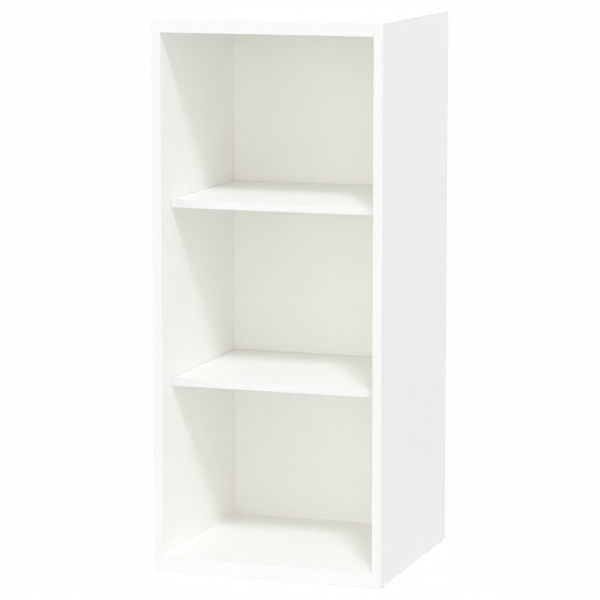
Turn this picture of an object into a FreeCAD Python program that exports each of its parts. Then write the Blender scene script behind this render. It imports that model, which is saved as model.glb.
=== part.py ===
# Open office bookcase of melamine-faced board with two loose shelves, in millimetres.
# The origin is on the floor under the middle of the case. X runs across the front,
# Y runs from the front to the rear, and Z is up.
import FreeCAD, Part
import math
import os
from FreeCAD import Vector

# Case
overall_width = 450.0
overall_depth = 430.0
overall_height = 1050.0
side_thickness = 18.0
top_thickness = 25.0
bottom_thickness = 28.0
band_thickness = 1.0
band_round = 0.6

# Back panel, held in grooves that run round the inside of the case
back_thickness = 6.0
back_recess = 28.0
groove_depth = 7.0
groove_clearance = 0.2
back_edge_clearance = 0.5

# Shelves, each measured from the floor to its underside
shelf_thickness = 15.0
lower_shelf_height = 352.0
upper_shelf_height = 693.0
shelf_setback = 50.0
shelf_side_gap = 0.5
shelf_rear_gap = 2.0

# Shelf pins
peg_radius = 2.5
peg_length = 9.5
pin_head_radius = 3.5
pin_head_length = 9.0
pin_flat = 0.7
pin_chamfer = 0.6
pin_inset = 65.0
pin_clearance = 0.05

# Cam locks and their bolts
cam_radius = 7.4
cam_clearance = 0.1
cam_reach = 4.5
cam_from_front = 70.0
cam_from_rear = 100.0
bolt_reach = 34.0
bolt_thread_radius = 3.1
bolt_thread_length = 10.5
bolt_thread_clearance = 0.05
bolt_shank_radius = 3.0
bolt_neck_radius = 1.8
bolt_head_radius = 3.0
bolt_head_length = 3.0
bolt_clearance = 0.3
driver_slot_length = 9.0
driver_slot_width = 1.5
driver_slot_depth = 2.5

# Cam covers
cover_overlap = 1.25
cover_thickness = 1.2
cover_round = 0.8
cover_peg_radius = 1.6
cover_peg_clearance = 0.1

# Dowels
dowel_radius = 4.0
dowel_length = 30.0
dowel_in_side = 10.0
dowel_spacing = 32.0
dowel_chamfer = 1.0
dowel_clearance = 0.05
dowel_end_clearance = 0.5
flute_count = 10
flute_radius = 0.6

# Glides under the side boards
glide_height = 3.0
glide_margin = 1.0
glide_inset = 20.0
glide_round = 0.8
nail_radius = 1.0
nail_length = 15.0
nail_point = 3.0
nail_tip_radius = 0.2
nail_head_radius = 3.0
nail_head_length = 0.8
nail_cover = 1.4
nail_clearance = 0.05

# Planes of the case
front = -overall_depth / 2
rear = overall_depth / 2
case_bottom = glide_height
case_top = overall_height
inner_half = overall_width / 2 - side_thickness
outer_half = overall_width / 2
floor_top = case_bottom + bottom_thickness
ceiling = case_top - top_thickness
back_face = rear - back_recess - back_thickness

# Planes of the shelves
shelf_half = inner_half - shelf_side_gap
shelf_front = front + shelf_setback
shelf_rear = back_face - shelf_rear_gap

# Rows of fixings along the depth
cam_rows = (front + cam_from_front, rear - cam_from_rear)
dowel_rows = (cam_rows[0] - dowel_spacing, cam_rows[1] + dowel_spacing)
pin_rows = (shelf_front + pin_inset, shelf_rear - pin_inset)
glide_rows = (front + glide_inset, rear - glide_inset)
top_joint = ceiling + top_thickness / 2
bottom_joint = case_bottom + bottom_thickness / 2
pin_drop = pin_head_radius - pin_flat
glide_radius = side_thickness / 2 - glide_margin

# Sizes that follow from the fixings they meet
cam_seat_radius = cam_radius + cam_clearance
cover_radius = cam_seat_radius + cover_overlap
cover_peg_length = driver_slot_depth - cover_peg_clearance
bolt_bore_radius = max(bolt_shank_radius, bolt_head_radius) + bolt_clearance

sides = {"left": -1, "right": 1}
up = Vector(0, 0, 1)
same = 1e-6


def block(x, y, z):
    """A box between a low and a high value along each axis."""
    return Part.makeBox(x[1] - x[0], y[1] - y[0], z[1] - z[0], Vector(x[0], y[0], z[0]))


def across(side, inner, outer):
    """The X span between two distances from the middle, on the left (-1) or right (1)."""
    return sorted((side * inner, side * outer))


def turned(profile, start, axis):
    """A round solid from (distance along the axis, radius) corners, starting at a point."""
    corners = [Vector(radius, 0, along) for along, radius in profile]
    outline = Part.makePolygon([Vector(0, 0, profile[0][0])] + corners
                               + [Vector(0, 0, profile[-1][0]), Vector(0, 0, profile[0][0])])
    solid = Part.Face(outline).revolve(Vector(0, 0, 0), up, 360)
    solid.Placement = FreeCAD.Placement(start, FreeCAD.Rotation(up, axis))
    return solid


def cut_all(solid, cutters):
    """A solid with every hole and groove taken out of it."""
    return solid.cut(Part.makeCompound(cutters)).Solids[0]


def save(name, shape):
    shape.exportStep(os.path.join("parts", name + ".step"))


def edge_band(x, y, z, axis, outer, round_ends):
    """A strip glued on a board's edge, with the arrises of its outer face rounded over.

    The outer face lies at the value `outer` along the axis with index `axis`. Strips whose
    ends butt against another piece keep those ends square.
    """
    strip = block(x, y, z)
    longest = max(edge.Length for edge in strip.Edges)
    arrises = []
    for edge in strip.Edges:
        on_face = all(abs(vertex.Point[axis] - outer) < same for vertex in edge.Vertexes)
        if on_face and (round_ends or edge.Length > longest - same):
            arrises.append(edge)
    return strip.makeFillet(band_round, arrises)


def joint_start(side, row, height):
    """The point where a corner fixing crosses from a side board into the top or bottom."""
    return Vector(side * inner_half, row, height)


def groove_span():
    """The Y span of the groove that takes the back panel."""
    return (back_face - groove_clearance, back_face + back_thickness + groove_clearance)


def side_board(side):
    """An upright, drilled for the corner fixings, shelf pins and glides and grooved."""
    outward = Vector(side, 0, 0)
    cutters = []
    for height in (bottom_joint, top_joint):
        for row in cam_rows:
            start = joint_start(side, row, height)
            radius = bolt_thread_radius + bolt_thread_clearance
            cutters.append(Part.makeCylinder(radius, bolt_thread_length, start, outward))
        for row in dowel_rows:
            start = joint_start(side, row, height)
            radius = dowel_radius + dowel_clearance
            depth = dowel_in_side + dowel_end_clearance
            cutters.append(Part.makeCylinder(radius, depth, start, outward))
    for height in (lower_shelf_height, upper_shelf_height):
        for row in pin_rows:
            start = joint_start(side, row, height - pin_drop)
            radius = peg_radius + pin_clearance
            cutters.append(Part.makeCylinder(radius, peg_length, start, outward))
    for row in glide_rows:
        foot = Vector(side * (inner_half + side_thickness / 2), row, case_bottom)
        cutters.append(Part.makeCylinder(nail_radius + nail_clearance, nail_length, foot, up))
    cutters.append(block(across(side, inner_half, inner_half + groove_depth), groove_span(),
                         (floor_top - groove_depth, ceiling + groove_depth)))
    board = block(across(side, inner_half, outer_half),
                  (front + band_thickness, rear - band_thickness),
                  (case_bottom, case_top - band_thickness))
    return cut_all(board, cutters)


def side_bands(name, side):
    """Front, rear and top edge bands of an upright; the long ones cover the top one's ends."""
    x = across(side, inner_half, outer_half)
    inner_front = front + band_thickness
    inner_rear = rear - band_thickness
    height = (case_bottom, case_top)
    save(name + "_side_front_band", edge_band(x, (front, inner_front), height, 1, front, True))
    save(name + "_side_rear_band", edge_band(x, (inner_rear, rear), height, 1, rear, True))
    save(name + "_side_top_band", edge_band(x, (inner_front, inner_rear),
                                            (case_top - band_thickness, case_top),
                                            2, case_top, False))


def level_board(underside, thickness, groove_height):
    """The top or bottom board: end bores for bolts and dowels, cam seats from below, groove."""
    middle = underside + thickness / 2
    cutters = []
    for side in sides.values():
        inward = Vector(-side, 0, 0)
        for row in cam_rows:
            seat = Vector(side * (inner_half - bolt_reach), row, underside)
            depth = thickness / 2 + cam_reach
            cutters.append(Part.makeCylinder(cam_seat_radius, depth, seat, up))
            start = joint_start(side, row, middle)
            cutters.append(Part.makeCylinder(bolt_bore_radius, bolt_reach, start, inward))
        for row in dowel_rows:
            radius = dowel_radius + dowel_clearance
            depth = dowel_length - dowel_in_side + dowel_end_clearance
            start = joint_start(side, row, middle)
            cutters.append(Part.makeCylinder(radius, depth, start, inward))
    cutters.append(block((-inner_half, inner_half), groove_span(), groove_height))
    board = block((-inner_half, inner_half),
                  (front + band_thickness, rear - band_thickness),
                  (underside, underside + thickness))
    return cut_all(board, cutters)


def level_bands(name, underside, thickness):
    """Front and rear edge bands of the top or bottom board; their ends butt on the sides."""
    x = (-inner_half, inner_half)
    z = (underside, underside + thickness)
    y = (front, front + band_thickness)
    save(name + "_front_band", edge_band(x, y, z, 1, front, False))
    y = (rear - band_thickness, rear)
    save(name + "_rear_band", edge_band(x, y, z, 1, rear, False))


def back_panel():
    """A plain panel standing in the grooves with a little play at its edges."""
    reach = groove_depth - back_edge_clearance
    return block((-inner_half - reach, inner_half + reach),
                 (back_face, back_face + back_thickness),
                 (floor_top - reach, ceiling + reach))


def shelf(name, height):
    """A loose shelf: its board, and edge bands on all four edges."""
    z = (height, height + shelf_thickness)
    board_half = shelf_half - band_thickness
    board_front = shelf_front + band_thickness
    board_rear = shelf_rear - band_thickness
    full_width = (-shelf_half, shelf_half)
    save(name + "_board", block((-board_half, board_half), (board_front, board_rear), z))
    save(name + "_front_band", edge_band(full_width, (shelf_front, board_front), z,
                                         1, shelf_front, True))
    save(name + "_rear_band", edge_band(full_width, (board_rear, shelf_rear), z,
                                        1, shelf_rear, True))
    for side_name, side in sides.items():
        save(name + "_" + side_name + "_band",
             edge_band(across(side, board_half, shelf_half), (board_front, board_rear), z,
                       0, side * shelf_half, False))


def shelf_pin(side, row, height):
    """A stepped pin: a peg in the side board and a head with a flat on top for the shelf."""
    axis_height = height - pin_drop
    profile = [(-peg_length, peg_radius - pin_chamfer),
               (-peg_length + pin_chamfer, peg_radius),
               (0, peg_radius), (0, pin_head_radius),
               (pin_head_length - pin_chamfer, pin_head_radius),
               (pin_head_length, pin_head_radius - pin_chamfer)]
    pin = turned(profile, joint_start(side, row, axis_height), Vector(-side, 0, 0))
    above = block(across(side, inner_half - pin_head_length, inner_half),
                  (row - pin_head_radius, row + pin_head_radius),
                  (height, height + pin_head_radius))
    return pin.cut(above).Solids[0]


def shelf_pins(height):
    return Part.makeCompound([shelf_pin(side, row, height)
                              for side in sides.values() for row in pin_rows])


def cam_bolt(side, row, height):
    """A bolt with a thread in the side board, a shank, a thin neck and a head in the cam."""
    neck_start = bolt_reach - cam_radius - bolt_clearance
    head_start = bolt_reach - bolt_head_length / 2
    profile = [(-bolt_thread_length + bolt_clearance, bolt_thread_radius),
               (0, bolt_thread_radius), (0, bolt_shank_radius),
               (neck_start, bolt_shank_radius), (neck_start, bolt_neck_radius),
               (head_start, bolt_neck_radius), (head_start, bolt_head_radius),
               (head_start + bolt_head_length, bolt_head_radius)]
    return turned(profile, joint_start(side, row, height), Vector(-side, 0, 0))


def cam_lock(side, row, underside, thickness):
    """A round cam in its seat: claws over the bolt's neck, and a cross slot to turn it."""
    middle = underside + thickness / 2
    inner_end = middle + cam_reach - bolt_clearance
    centre = Vector(side * (inner_half - bolt_reach), row, underside)
    cam = Part.makeCylinder(cam_radius, inner_end - underside, centre, up)
    distance = inner_half - bolt_reach
    neck_half = bolt_neck_radius + bolt_clearance
    head_half = bolt_head_radius + bolt_clearance
    head_reach = bolt_head_length / 2 + bolt_clearance
    neck_slot = block(across(side, distance, distance + cam_radius),
                      (row - neck_half, row + neck_half), (middle - neck_half, inner_end))
    head_pocket = block(across(side, distance - head_reach, distance + head_reach),
                        (row - head_half, row + head_half), (middle - head_half, inner_end))
    long_half = driver_slot_length / 2
    thin_half = driver_slot_width / 2
    slot_height = (underside, underside + driver_slot_depth)
    slot_across = block((centre.x - long_half, centre.x + long_half),
                        (row - thin_half, row + thin_half), slot_height)
    slot_along = block((centre.x - thin_half, centre.x + thin_half),
                       (row - long_half, row + long_half), slot_height)
    peg_hole = Part.makeCylinder(cover_peg_radius + cover_peg_clearance, driver_slot_depth,
                                 centre, up)
    return cut_all(cam, [neck_slot, head_pocket, slot_across, slot_along, peg_hole])


def cam_cover(side, row):
    """A thin cap over a cam under the top board, with a peg in the cam's slot."""
    profile = [(-cover_thickness, cover_radius - cover_round),
               (-cover_thickness + cover_round, cover_radius),
               (0, cover_radius), (0, cover_peg_radius), (cover_peg_length, cover_peg_radius)]
    return turned(profile, Vector(side * (inner_half - bolt_reach), row, ceiling), up)


def dowel(side, row, height):
    """A fluted dowel, part in the side board and part in the top or bottom board."""
    start = -dowel_in_side
    end = dowel_length - dowel_in_side
    profile = [(start, dowel_radius - dowel_chamfer), (start + dowel_chamfer, dowel_radius),
               (end - dowel_chamfer, dowel_radius), (end, dowel_radius - dowel_chamfer)]
    inward = Vector(-side, 0, 0)
    place = joint_start(side, row, height)
    flutes = []
    for number in range(flute_count):
        angle = 2 * math.pi * number / flute_count
        offset = Vector(start * inward.x, dowel_radius * math.cos(angle),
                        dowel_radius * math.sin(angle))
        flutes.append(Part.makeCylinder(flute_radius, dowel_length, place + offset, inward))
    return cut_all(turned(profile, place, inward), flutes)


def corner_fixings(name, underside, thickness):
    """Cam locks, bolts and dowels of the top or bottom board, each kind as one group."""
    middle = underside + thickness / 2
    cams = []
    bolts = []
    dowels = []
    for side in sides.values():
        for row in cam_rows:
            cams.append(cam_lock(side, row, underside, thickness))
            bolts.append(cam_bolt(side, row, middle))
        for row in dowel_rows:
            dowels.append(dowel(side, row, middle))
    save(name + "_cam_locks", Part.makeCompound(cams))
    save(name + "_cam_bolts", Part.makeCompound(bolts))
    save(name + "_dowels", Part.makeCompound(dowels))


def glide_foot(side, row):
    """The middle of a glide's floor face."""
    return Vector(side * (inner_half + side_thickness / 2), row, 0)


def glide_nail(side, row):
    """A nail with a flat head inside the glide and its point up in the side board."""
    head_top = nail_cover + nail_head_length
    tip = case_bottom + nail_length - nail_clearance
    profile = [(nail_cover, nail_head_radius), (head_top, nail_head_radius),
               (head_top, nail_radius), (tip - nail_point, nail_radius),
               (tip, nail_tip_radius)]
    return turned(profile, glide_foot(side, row), up)


def glide(side, row):
    """A plastic button moulded round its nail's head, flat on the floor."""
    profile = [(0, glide_radius - glide_round), (glide_round, glide_radius),
               (glide_height, glide_radius)]
    button = turned(profile, glide_foot(side, row), up)
    return button.cut(glide_nail(side, row)).Solids[0]


os.makedirs("parts", exist_ok=True)
for side_name, side in sides.items():
    save(side_name + "_side_board", side_board(side))
    side_bands(side_name, side)
save("top_board", level_board(ceiling, top_thickness, (ceiling, ceiling + groove_depth)))
save("bottom_board", level_board(case_bottom, bottom_thickness,
                                 (floor_top - groove_depth, floor_top)))
level_bands("top", ceiling, top_thickness)
level_bands("bottom", case_bottom, bottom_thickness)
save("back_panel", back_panel())
shelf("upper_shelf", upper_shelf_height)
shelf("lower_shelf", lower_shelf_height)
save("upper_shelf_pins", shelf_pins(upper_shelf_height))
save("lower_shelf_pins", shelf_pins(lower_shelf_height))
corner_fixings("top", ceiling, top_thickness)
corner_fixings("bottom", case_bottom, bottom_thickness)
save("cam_covers", Part.makeCompound([cam_cover(side, row)
                                      for side in sides.values() for row in cam_rows]))
for side_name, side in sides.items():
    for row_name, row in zip(("front", "rear"), glide_rows):
        save(row_name + "_" + side_name + "_glide", glide(side, row))
save("glide_nails", Part.makeCompound([glide_nail(side, row)
                                       for side in sides.values() for row in glide_rows]))
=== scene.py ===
import math
import bpy
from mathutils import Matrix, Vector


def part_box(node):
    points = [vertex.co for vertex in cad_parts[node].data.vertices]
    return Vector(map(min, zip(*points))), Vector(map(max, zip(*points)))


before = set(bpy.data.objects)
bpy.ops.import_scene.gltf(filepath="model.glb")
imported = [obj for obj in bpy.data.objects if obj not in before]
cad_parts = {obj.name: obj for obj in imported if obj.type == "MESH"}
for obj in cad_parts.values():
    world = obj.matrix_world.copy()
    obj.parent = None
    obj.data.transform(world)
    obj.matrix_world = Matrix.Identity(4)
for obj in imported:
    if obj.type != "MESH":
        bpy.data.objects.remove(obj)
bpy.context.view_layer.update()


# Uprights. The two full-height sides are 18 mm particle board with white melamine paper
# pressed hot on both faces. Where no edging covers a sawn edge or a drilled hole, the bare
# chips show.
def linear(hex_colour):
    """An sRGB hex colour as linear red, green, blue and alpha."""
    shares = [int(hex_colour[place:place + 2], 16) / 255 for place in (1, 3, 5)]
    return [s / 12.92 if s <= 0.04045 else ((s + 0.055) / 1.055) ** 2.4 for s in shares] + [1]


def wire(tree, node, inputs):
    """Sets a node's inputs to plain values, or links them to other nodes' sockets."""
    for socket, value in inputs.items():
        if isinstance(value, bpy.types.NodeSocket):
            tree.links.new(value, node.inputs[socket])
        else:
            node.inputs[socket].default_value = value


def add(tree, kind, inputs, **settings):
    """A new shader node with its settings and its inputs."""
    made = tree.nodes.new(kind)
    for name, value in settings.items():
        setattr(made, name, value)
    wire(tree, made, inputs)
    return made


def new_material(name):
    """An empty material, its node tree, its shader and the object's own coordinates."""
    material = bpy.data.materials.new(name)
    material.use_nodes = True
    tree = material.node_tree
    surface = tree.nodes["Principled BSDF"]
    return material, tree, surface, add(tree, "ShaderNodeTexCoord", {})


def on_faces(tree, coordinates, axis):
    """A socket that is 1 on the faces that look along an axis and 0 on the edges."""
    facing = add(tree, "ShaderNodeSeparateXYZ", {"Vector": coordinates.outputs["Normal"]})
    lean = add(tree, "ShaderNodeMath", {0: facing.outputs[axis]}, operation="ABSOLUTE")
    return add(tree, "ShaderNodeMath", {0: lean.outputs[0], 1: 0.5},
               operation="GREATER_THAN").outputs[0]


def dress(material, names):
    """Puts a material on the CAD nodes with these names."""
    for name in names:
        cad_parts[name].material_slots[0].material = material


def melamine_board(name, face_axis, seams):
    """Melamine-faced particle board whose faces look along one axis.

    The paper is a slightly warm satin white with a fine pearl grain. Each seam, an axis and a
    place on it, is the hairline of glue where an edging strip meets the face.
    """
    material, tree, surface, coordinates = new_material(name)
    place = coordinates.outputs["Object"]
    is_face = on_faces(tree, coordinates, face_axis)

    # Paper: drifts of tone a hand wide, and fibres drawn 2 mm long so that they can show.
    hand_width = 0.09
    fibre_length = 0.002
    fleck_strength = 0.25
    drift = add(tree, "ShaderNodeTexNoise", {"Vector": place, "Scale": 1 / hand_width, "Detail": 2})
    fibres = add(tree, "ShaderNodeTexNoise", {"Vector": place, "Scale": 1 / fibre_length,
                                              "Detail": 1})
    paper = add(tree, "ShaderNodeMix", {0: drift.outputs["Fac"], 6: linear("#F9F8F6"),
                                        7: linear("#F7F6F4")}, data_type="RGBA")
    fleck = add(tree, "ShaderNodeMath", {0: fibres.outputs["Fac"], 1: fleck_strength},
                operation="MULTIPLY")
    paper = add(tree, "ShaderNodeMix", {0: fleck.outputs[0], 6: paper.outputs[2],
                                        7: linear("#F2F0EE")}, data_type="RGBA")

    # Glue lines beside the edging, drawn half a millimetre wide so that they can show.
    glue_width = 0.0005
    where = add(tree, "ShaderNodeSeparateXYZ", {"Vector": place})
    line = None
    for axis, position in seams:
        gap = add(tree, "ShaderNodeMath", {0: where.outputs[axis], 1: position},
                  operation="SUBTRACT")
        gap = add(tree, "ShaderNodeMath", {0: gap.outputs[0]}, operation="ABSOLUTE")
        near = add(tree, "ShaderNodeMath", {0: gap.outputs[0], 1: glue_width},
                   operation="LESS_THAN")
        if line:
            near = add(tree, "ShaderNodeMath", {0: line.outputs[0], 1: near.outputs[0]},
                       operation="MAXIMUM")
        line = near
    paper = add(tree, "ShaderNodeMix", {0: line.outputs[0], 6: paper.outputs[2],
                                        7: linear("#E2E1DC")}, data_type="RGBA")

    # Chips on the sawn edges: flakes about 6 mm long and 1.2 mm thick, lying flat in the board.
    chip_length = 0.006
    chip_thickness = 0.0012
    chip_size = [chip_thickness if axis == face_axis else chip_length for axis in "XYZ"]
    flat = add(tree, "ShaderNodeMapping", {"Vector": place, "Scale": [1 / size for size in chip_size]})
    chips = add(tree, "ShaderNodeTexVoronoi", {"Vector": flat.outputs[0], "Scale": 1})
    chance = add(tree, "ShaderNodeSeparateColor", {0: chips.outputs["Color"]})
    wood = add(tree, "ShaderNodeValToRGB", {0: chance.outputs[0]})
    wood.color_ramp.elements[0].color = linear("#8F7048")
    wood.color_ramp.elements[1].color = linear("#E2CDA3")
    wood.color_ramp.elements.new(0.45).color = linear("#C6A878")

    # Satin paper with a pearl grain drawn 0.8 mm wide, and dull chips.
    pearl_width = 0.0008
    chip_roughness = 0.85
    colour = add(tree, "ShaderNodeMix", {0: is_face, 6: wood.outputs[0], 7: paper.outputs[2]},
                 data_type="RGBA")
    sheen = add(tree, "ShaderNodeMapRange", {0: drift.outputs["Fac"], 3: 0.55, 4: 0.65})
    roughness = add(tree, "ShaderNodeMix", {0: is_face, 2: chip_roughness, 3: sheen.outputs[0]})
    pearl = add(tree, "ShaderNodeTexNoise", {"Vector": place, "Scale": 1 / pearl_width, "Detail": 1})
    relief = add(tree, "ShaderNodeMix", {0: is_face, 2: chips.outputs["Distance"],
                                         3: pearl.outputs["Fac"]})
    bump = add(tree, "ShaderNodeBump", {"Height": relief.outputs[0], "Strength": 0.12,
                                        "Distance": 0.0003})
    wire(tree, surface, {"Base Color": colour.outputs[2], "Roughness": roughness.outputs[0],
                         "Normal": bump.outputs[0], "IOR": 1.52})
    return material


low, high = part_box("left_side_board")
upright = melamine_board("white_melamine_upright", "X",
                         [("Y", low.y), ("Y", high.y), ("Z", high.z)])
dress(upright, ["left_side_board", "right_side_board"])


# Top and bottom. The same faced board, 25 mm thick above and 28 mm below, stands between the
# uprights, with its bare ends against them and edging on the front and rear.
low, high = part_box("top_board")
level = melamine_board("white_melamine_level", "Z", [("Y", low.y), ("Y", high.y)])
dress(level, ["top_board", "bottom_board"])


# Edging. Strips of white ABS, 1 mm thick, are glued on hot, trimmed flush with the faces and
# rounded over with a scraper, which leaves them a little glossier than the paper.
edging, tree, surface, coordinates = new_material("white_abs_edging")
place = coordinates.outputs["Object"]
# The tone drifts over 6 cm, and the extruded skin has a grain drawn 0.9 mm wide. The whole tone is set
# a shade greyer than the paper: this is painted shade, so that the strongly lit front edges render
# below white.
drift_width = 0.06
grain_width = 0.0009
drift = add(tree, "ShaderNodeTexNoise", {"Vector": place, "Scale": 1 / drift_width, "Detail": 2})
# Painted shade: both edging tones are greyer than the paper so that the brightly lit front edges do
# not render as white.
tone = add(tree, "ShaderNodeMix", {0: drift.outputs["Fac"], 6: linear("#EAE9E8"),
                                   7: linear("#E8E7E6")}, data_type="RGBA")
sheen = add(tree, "ShaderNodeMapRange", {0: drift.outputs["Fac"], 3: 0.38, 4: 0.48})
grain = add(tree, "ShaderNodeTexNoise", {"Vector": place, "Scale": 1 / grain_width, "Detail": 1})
bump = add(tree, "ShaderNodeBump", {"Height": grain.outputs["Fac"], "Strength": 0.1,
                                    "Distance": 0.0002})
wire(tree, surface, {"Base Color": tone.outputs[2], "Roughness": sheen.outputs[0],
                     "Normal": bump.outputs[0], "IOR": 1.53})
dress(edging, [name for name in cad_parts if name.endswith("_band")])


# Back panel. A 6 mm fibreboard sheet with white foil on both sides slides into grooves in the
# case, in from the rear. Its bare brown edges are hidden in the grooves.
back, tree, surface, coordinates = new_material("white_foil_fibreboard")
place = coordinates.outputs["Object"]
# The tone drifts over 12 cm, and the foil follows the fibres under it in a faint orange peel
# of about 3 mm.
drift_width = 0.12
peel_width = 0.003
drift = add(tree, "ShaderNodeTexNoise", {"Vector": place, "Scale": 1 / drift_width, "Detail": 2})
foil = add(tree, "ShaderNodeMix", {0: drift.outputs["Fac"], 6: linear("#F8F7F4"),
                                   7: linear("#F5F4F1")}, data_type="RGBA")
colour = add(tree, "ShaderNodeMix", {0: on_faces(tree, coordinates, "Y"), 6: linear("#A5825A"),
                                     7: foil.outputs[2]}, data_type="RGBA")
sheen = add(tree, "ShaderNodeMapRange", {0: drift.outputs["Fac"], 3: 0.55, 4: 0.65})
peel = add(tree, "ShaderNodeTexNoise", {"Vector": place, "Scale": 1 / peel_width, "Detail": 1})
bump = add(tree, "ShaderNodeBump", {"Height": peel.outputs["Fac"], "Strength": 0.1,
                                    "Distance": 0.0004})
wire(tree, surface, {"Base Color": colour.outputs[2], "Roughness": sheen.outputs[0],
                     "Normal": bump.outputs[0]})
dress(back, ["back_panel"])


# Dowels. Fluted beech pins, 8 by 30 mm, are glued into the ends of the top and bottom and
# locate them on the uprights.
beech, tree, surface, coordinates = new_material("bare_beech")
place = coordinates.outputs["Object"]
# Growth lines run along the dowel, 1 mm apart across it, with short dark flecks between them.
growth_size = (0.02, 0.001, 0.001)
fleck_size = (0.003, 0.0004, 0.0004)
along = add(tree, "ShaderNodeMapping", {"Vector": place, "Scale": [1 / size for size in growth_size]})
growth = add(tree, "ShaderNodeTexNoise", {"Vector": along.outputs[0], "Scale": 1, "Detail": 3})
short = add(tree, "ShaderNodeMapping", {"Vector": place, "Scale": [1 / size for size in fleck_size]})
rays = add(tree, "ShaderNodeTexNoise", {"Vector": short.outputs[0], "Scale": 1, "Detail": 1})
dark = add(tree, "ShaderNodeMapRange", {0: rays.outputs["Fac"], 1: 0.58, 2: 0.7, 4: 0.6})
wood = add(tree, "ShaderNodeMix", {0: growth.outputs["Fac"], 6: linear("#DDBE94"),
                                   7: linear("#C39C6C")}, data_type="RGBA")
wood = add(tree, "ShaderNodeMix", {0: dark.outputs[0], 6: wood.outputs[2],
                                   7: linear("#A67C4E")}, data_type="RGBA")
bump = add(tree, "ShaderNodeBump", {"Height": growth.outputs["Fac"], "Strength": 0.2,
                                    "Distance": 0.0002})
wire(tree, surface, {"Base Color": wood.outputs[2], "Roughness": 0.65, "Normal": bump.outputs[0]})
dress(beech, ["top_dowels", "bottom_dowels"])


# Bolts and nails. Steel turned or headed on a machine and plated with bright zinc: the cam
# bolts are screwed into the uprights, and the nails hold the glides.
steel, tree, surface, coordinates = new_material("zinc_plated_steel")
place = coordinates.outputs["Object"]
# The plating has a bloom of about 2 mm.
bloom_width = 0.002
bloom = add(tree, "ShaderNodeTexNoise", {"Vector": place, "Scale": 1 / bloom_width, "Detail": 3})
tone = add(tree, "ShaderNodeMix", {0: bloom.outputs["Fac"], 6: linear("#C3C7CC"),
                                   7: linear("#A9AEB3")}, data_type="RGBA")
sheen = add(tree, "ShaderNodeMapRange", {0: bloom.outputs["Fac"], 3: 0.22, 4: 0.4})
wire(tree, surface, {"Base Color": tone.outputs[2], "Roughness": sheen.outputs[0], "Metallic": 1})
dress(steel, ["top_cam_bolts", "bottom_cam_bolts", "glide_nails"])


# Cam locks. Zinc castings, 15 mm across, sit in seats bored from below and are turned half
# round with a screwdriver to pull the bolts tight.
zinc, tree, surface, coordinates = new_material("die_cast_zinc")
place = coordinates.outputs["Object"]
# The casting's skin is a dull grain, drawn 0.5 mm wide, with brighter rubbed spots of 5 mm.
grain_width = 0.0005
spot_width = 0.005
grain = add(tree, "ShaderNodeTexNoise", {"Vector": place, "Scale": 1 / grain_width, "Detail": 2})
rubbed = add(tree, "ShaderNodeTexNoise", {"Vector": place, "Scale": 1 / spot_width, "Detail": 2})
tone = add(tree, "ShaderNodeMix", {0: rubbed.outputs["Fac"], 6: linear("#9B9EA1"),
                                   7: linear("#B4B7B9")}, data_type="RGBA")
sheen = add(tree, "ShaderNodeMapRange", {0: rubbed.outputs["Fac"], 3: 0.58, 4: 0.4})
bump = add(tree, "ShaderNodeBump", {"Height": grain.outputs["Fac"], "Strength": 0.35,
                                    "Distance": 0.0002})
wire(tree, surface, {"Base Color": tone.outputs[2], "Roughness": sheen.outputs[0],
                     "Normal": bump.outputs[0], "Metallic": 1})
dress(zinc, ["top_cam_locks", "bottom_cam_locks"])


# Cam covers. White polyethylene caps, moulded with a peg that presses into the cam's slot,
# hide the cams under the top.
cover, tree, surface, coordinates = new_material("white_polyethylene")
place = coordinates.outputs["Object"]
# The moulded skin has a grain drawn 0.6 mm wide, and its tone drifts over 8 mm.
grain_width = 0.0006
drift_width = 0.008
grain = add(tree, "ShaderNodeTexNoise", {"Vector": place, "Scale": 1 / grain_width, "Detail": 1})
drift = add(tree, "ShaderNodeTexNoise", {"Vector": place, "Scale": 1 / drift_width, "Detail": 2})
tone = add(tree, "ShaderNodeMix", {0: drift.outputs["Fac"], 6: linear("#F2F3F0"),
                                   7: linear("#EDEEEA")}, data_type="RGBA")
sheen = add(tree, "ShaderNodeMapRange", {0: drift.outputs["Fac"], 3: 0.38, 4: 0.48})
bump = add(tree, "ShaderNodeBump", {"Height": grain.outputs["Fac"], "Strength": 0.15,
                                    "Distance": 0.0002})
wire(tree, surface, {"Base Color": tone.outputs[2], "Roughness": sheen.outputs[0],
                     "Normal": bump.outputs[0]})
dress(cover, ["cam_covers"])


# Shelf pins. Turned steel, nickel plated, pushed into 5 mm holes in the uprights; the shelf
# lies on a flat on each head.
nickel, tree, surface, coordinates = new_material("nickel_plated_steel")
place = coordinates.outputs["Object"]
# Turning marks ring the pin along its length, drawn 1.9 mm apart so that they can show, under a
# bloom of about 3 mm. A wave texture of scale 1 runs through 20 radians in a metre.
ring_spacing = 0.001885
radians_per_metre = 20
bloom_width = 0.003
rings = add(tree, "ShaderNodeTexWave", {"Vector": place,
                                        "Scale": 2 * math.pi / ring_spacing / radians_per_metre,
                                        "Distortion": 1.5}, bands_direction="X")
sheen = add(tree, "ShaderNodeMapRange", {0: rings.outputs["Fac"], 3: 0.14, 4: 0.26})
bloom = add(tree, "ShaderNodeTexNoise", {"Vector": place, "Scale": 1 / bloom_width, "Detail": 2})
tone = add(tree, "ShaderNodeMix", {0: bloom.outputs["Fac"], 6: linear("#D3CEC3"),
                                   7: linear("#C2BCAF")}, data_type="RGBA")
wire(tree, surface, {"Base Color": tone.outputs[2], "Roughness": sheen.outputs[0], "Metallic": 1})
dress(nickel, ["upper_shelf_pins", "lower_shelf_pins"])


# Shelves. Faced board, 15 mm thick, edged all round and laid loose on the pins, so that each
# can be drawn straight out.
low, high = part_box("upper_shelf_board")
shelf = melamine_board("white_melamine_shelf", "Z", [("X", low.x), ("X", high.x),
                                                     ("Y", low.y), ("Y", high.y)])
dress(shelf, ["upper_shelf_board", "lower_shelf_board"])


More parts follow.
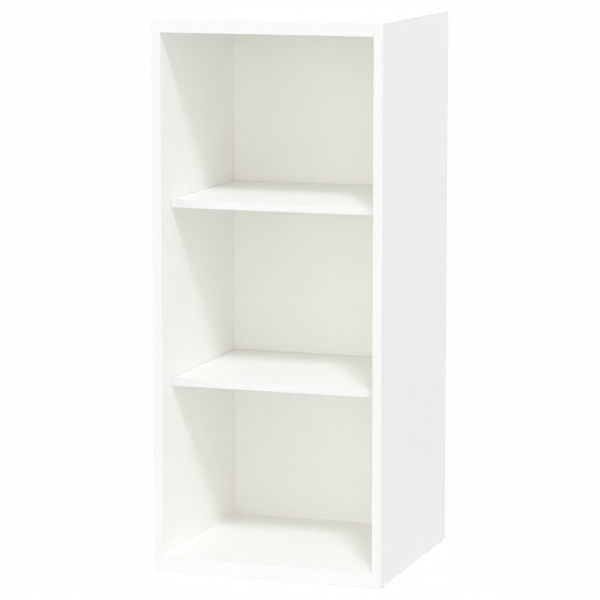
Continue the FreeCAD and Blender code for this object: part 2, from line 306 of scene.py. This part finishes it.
# Glides. Pale grey polyethylene buttons, 16 mm across, nailed under the uprights. Their floor
# faces are scuffed from being pushed about.
glide, tree, surface, coordinates = new_material("grey_polyethylene")
place = coordinates.outputs["Object"]
# Scuffs are about 6 mm long and half a millimetre wide.
scuff_size = (0.006, 0.0005, 0.002)
drag = add(tree, "ShaderNodeMapping", {"Vector": place, "Scale": [1 / size for size in scuff_size]})
scuffs = add(tree, "ShaderNodeTexNoise", {"Vector": drag.outputs[0], "Scale": 1, "Detail": 3})
worn = add(tree, "ShaderNodeMapRange", {0: scuffs.outputs["Fac"], 1: 0.45, 2: 0.7, 4: 0.5})
tone = add(tree, "ShaderNodeMix", {0: worn.outputs[0], 6: linear("#D9D8D3"),
                                   7: linear("#B4B1A9")}, data_type="RGBA")
sheen = add(tree, "ShaderNodeMapRange", {0: scuffs.outputs["Fac"], 3: 0.45, 4: 0.65})
wire(tree, surface, {"Base Color": tone.outputs[2], "Roughness": sheen.outputs[0]})
dress(glide, [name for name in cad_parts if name.endswith("_glide")])


# Studio floor. A wide pale floor that shows as plain white, with the object's shadow kept
# faint on it, as in a cut-out photograph.
def seen_rays(tree):
    """A socket that is 1 for what the camera, a reflection or glass shows, and 0 for light."""
    path = add(tree, "ShaderNodeLightPath", {})
    seen = add(tree, "ShaderNodeMath", {0: path.outputs["Is Camera Ray"],
                                        1: path.outputs["Is Glossy Ray"]}, operation="MAXIMUM")
    return add(tree, "ShaderNodeMath", {0: seen.outputs[0], 1: path.outputs["Is Transmission Ray"]},
               operation="MAXIMUM").outputs[0]


floor_span = 120
floor_drop = 0.0005
white_share = 0.97
bpy.ops.object.select_all(action="DESELECT")
bpy.ops.mesh.primitive_plane_add(size=floor_span, location=(0, 0, -floor_drop))
floor = bpy.context.object
floor.name = "studio_floor"
paint = bpy.data.materials.new("white_floor_paint")
paint.use_nodes = True
tree = paint.node_tree
surface = tree.nodes["Principled BSDF"]
wire(tree, surface, {"Base Color": linear("#E2E2E2"), "Roughness": 0.9, "Specular IOR Level": 0})
glow = add(tree, "ShaderNodeEmission", {"Color": (1, 1, 1, 1), "Strength": 1})
share = add(tree, "ShaderNodeMath", {0: seen_rays(tree), 1: white_share}, operation="MULTIPLY")
blend = add(tree, "ShaderNodeMixShader", {0: share.outputs[0], 1: surface.outputs[0],
                                          2: glow.outputs[0]})
wire(tree, tree.nodes["Material Output"], {"Surface": blend.outputs[0]})
floor.data.materials.append(paint)


# Light. Large soft lamps stand all round the case, the front one low so that it reaches into
# the compartments. A smaller, cooler one, high at the front and right, throws the slanting
# shadows.
day_white = linear("#ECF8FF")
soft_white = linear("#FEFFFB")
room = bpy.data.worlds.new("white_room")
bpy.context.scene.world = room
room.use_nodes = True
tree = room.node_tree
tree.nodes.clear()
walls = add(tree, "ShaderNodeBackground", {"Color": soft_white, "Strength": 0.25})
white = add(tree, "ShaderNodeBackground", {"Color": (1, 1, 1, 1), "Strength": 1})
blend = add(tree, "ShaderNodeMixShader", {0: seen_rays(tree), 1: walls.outputs[0],
                                          2: white.outputs[0]})
add(tree, "ShaderNodeOutputWorld", {"Surface": blend.outputs[0]})
# Each lamp's turn round the case from the front, its height and its spread are in degrees.
for name, turn, height, spread, energy, tint in (("key_lamp", 27, 48, 10, 1.17, day_white),
                                                 ("front_lamp", 0, 0, 140, 1.34, soft_white),
                                                 ("front_right_lamp", 18, 0, 25, 0.4, soft_white),
                                                 ("front_left_lamp", -34, 0, 45, 0.75, soft_white),
                                                 ("right_lamp", 80, 15, 60, 0.82, soft_white),
                                                 ("left_lamp", -80, 15, 60, 0.9, soft_white),
                                                 ("rear_lamp", 180, 15, 60, 1.0, soft_white)):
    bpy.ops.object.light_add(type="SUN", rotation=(math.radians(90 - height), 0, math.radians(turn)))
    lamp = bpy.context.object
    lamp.name = name
    lamp.data.color = tint[:3]
    lamp.data.energy = energy
    lamp.data.angle = math.radians(spread)
# The white boards pass light on to each other many times over.
bpy.context.scene.cycles.diffuse_bounces = 10


# Camera. A long lens a little above the case and to its right. The photo's camera was level
# and shifted; this one is tilted down instead, so that it needs no shift.
camera_place = (1.828, -5.429, 1.366)
camera_tilt = 8.566
camera_turn = 18.667
bpy.ops.object.camera_add(location=camera_place,
                          rotation=(math.radians(90 - camera_tilt), 0, math.radians(camera_turn)))
camera = bpy.context.object
camera.data.sensor_width = 36
camera.data.lens = 180.75
bpy.context.scene.camera = camera
bpy.context.scene.view_settings.view_transform = "Standard"
